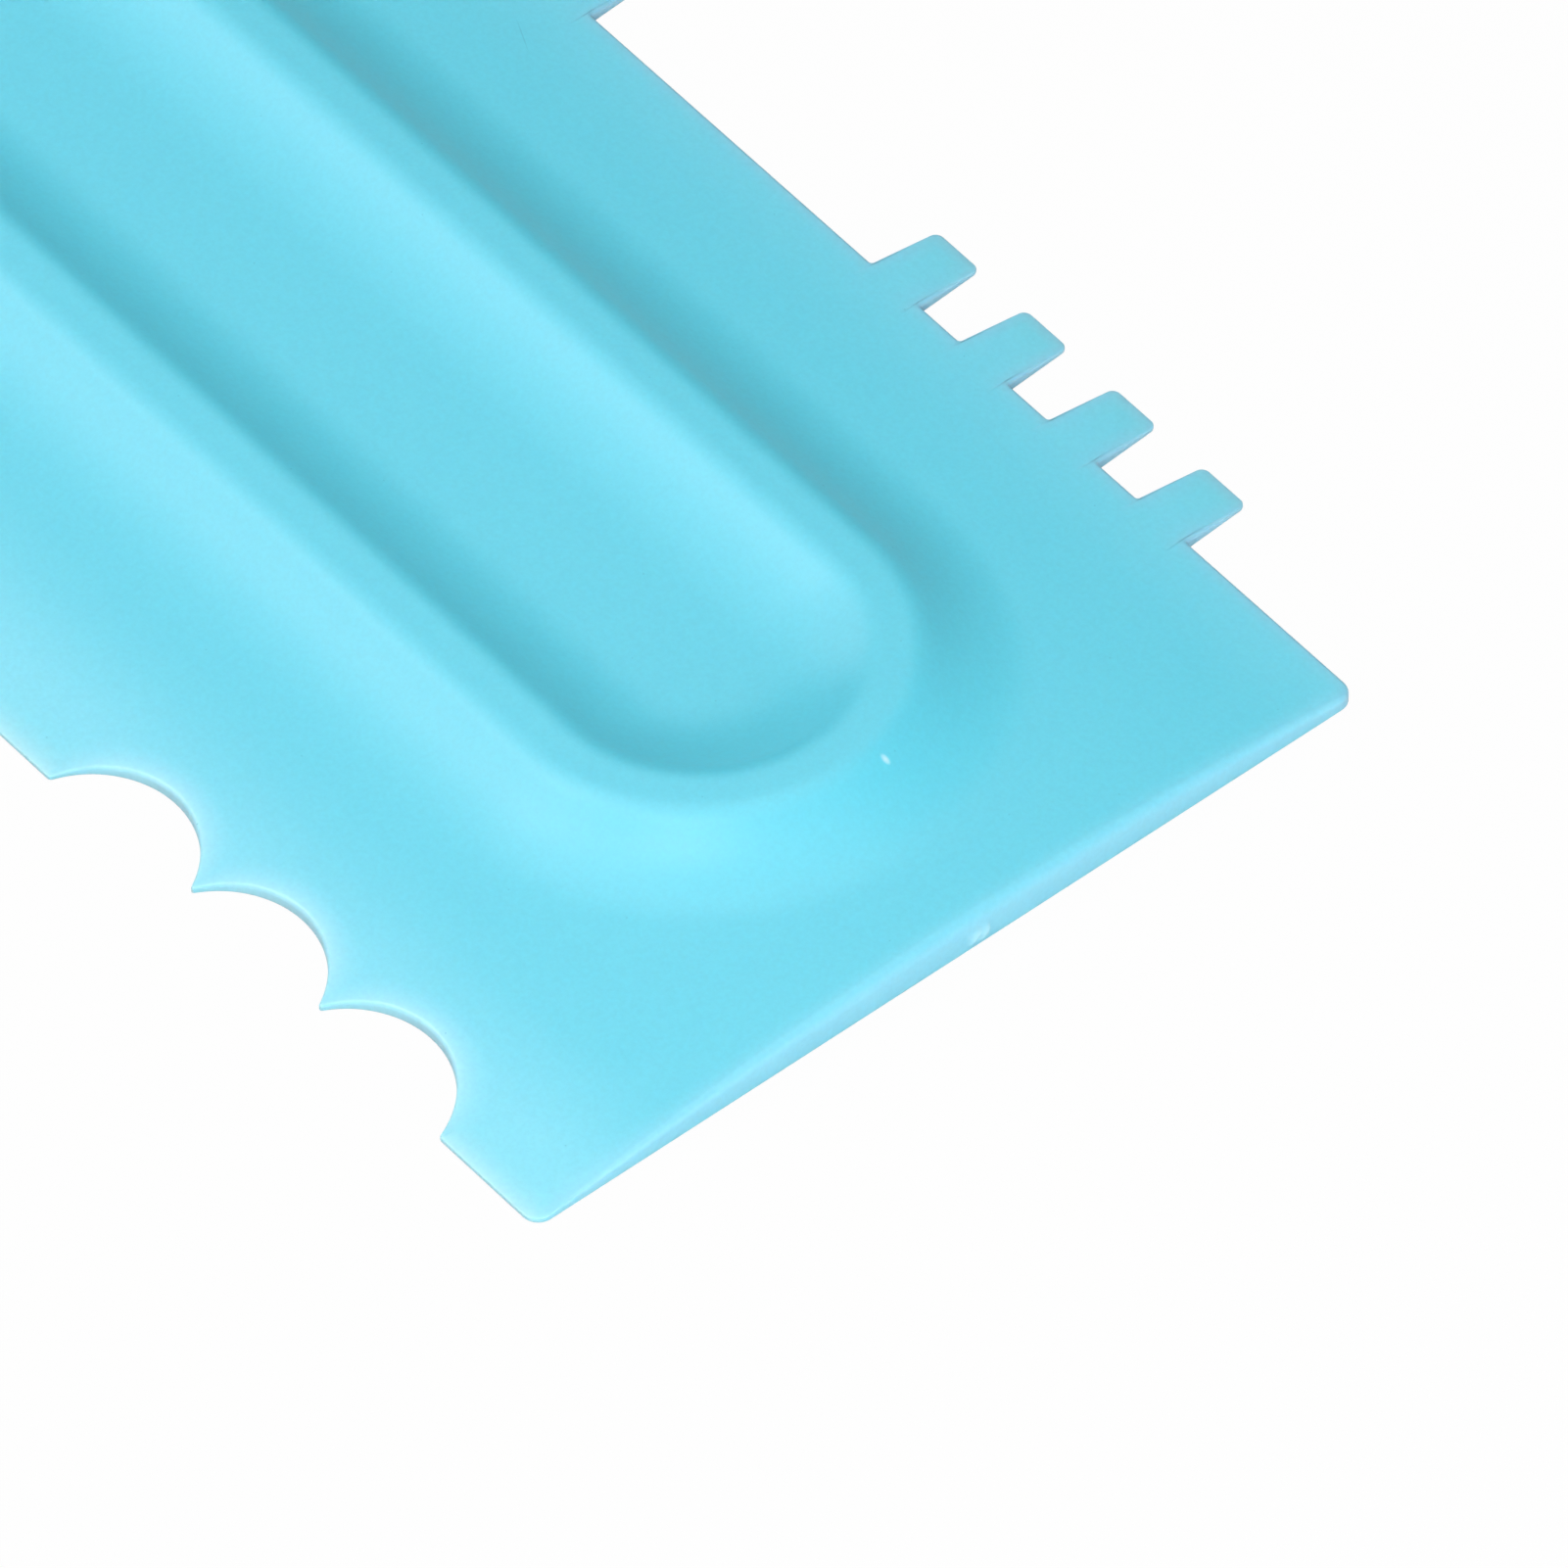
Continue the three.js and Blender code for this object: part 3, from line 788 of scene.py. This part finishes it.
def make_softbox(scene, stage, name, azimuth, elevation, distance, side):
    """A square area lamp that faces the camera's aim."""
    lamp = bpy.data.lights.new(name + "_softbox", "AREA")
    lamp.size = side
    lamp.energy = getattr(stage, name)
    softbox = bpy.data.objects.new(name + "_softbox", lamp)
    away = direction(azimuth, elevation)
    softbox.location = Vector(stage.aim) + distance * away
    softbox.rotation_euler = away.to_track_quat("Z", "Y").to_euler()
    softbox.visible_camera = False
    scene.collection.objects.link(softbox)


def make_camera(scene, stage):
    """A long lens at the photograph's angle, level, with the aim in the middle of the picture."""
    data = bpy.data.cameras.new("camera")
    data.lens = stage.focal_length
    data.sensor_width = SENSOR_WIDTH
    camera = bpy.data.objects.new("camera", data)
    camera.location = Vector(stage.aim) + stage.distance * direction(stage.azimuth, stage.elevation)
    camera.rotation_euler = (math.pi / 2 - stage.elevation, 0, stage.azimuth)
    scene.collection.objects.link(camera)
    scene.camera = camera


class CAKE_COMB_PT_panel(bpy.types.Panel):
    """Lists the pieces and their settings"""

    bl_idname = "CAKE_COMB_PT_panel"
    bl_label = "Cake comb"
    bl_space_type = "VIEW_3D"
    bl_region_type = "UI"
    bl_category = "Cake comb"

    def draw(self, context):
        layout = self.layout
        for operator in OPERATORS:
            layout.operator(operator.bl_idname)
        for key, group in SETTINGS.items():
            box = layout.box()
            for setting in group.__annotations__:
                box.prop(getattr(context.scene, key), setting)


SETTINGS = {
    "cake_comb_shape": CombShape,
    "cake_comb_finish": CombFinish,
    "cake_comb_stage": CombStage,
}
OPERATORS = (CAKE_COMB_OT_moulding, CAKE_COMB_OT_stage)
CLASSES = (*SETTINGS.values(), *OPERATORS, CAKE_COMB_PT_panel)


def register():
    for cls in CLASSES:
        bpy.utils.register_class(cls)
    for key, group in SETTINGS.items():
        setattr(bpy.types.Scene, key, PointerProperty(type=group))


def unregister():
    for key in SETTINGS:
        delattr(bpy.types.Scene, key)
    for cls in reversed(CLASSES):
        bpy.utils.unregister_class(cls)


def main():
    register()
    bpy.ops.cake_comb.moulding()
    bpy.ops.cake_comb.stage()


if __name__ == "__main__":
    main()
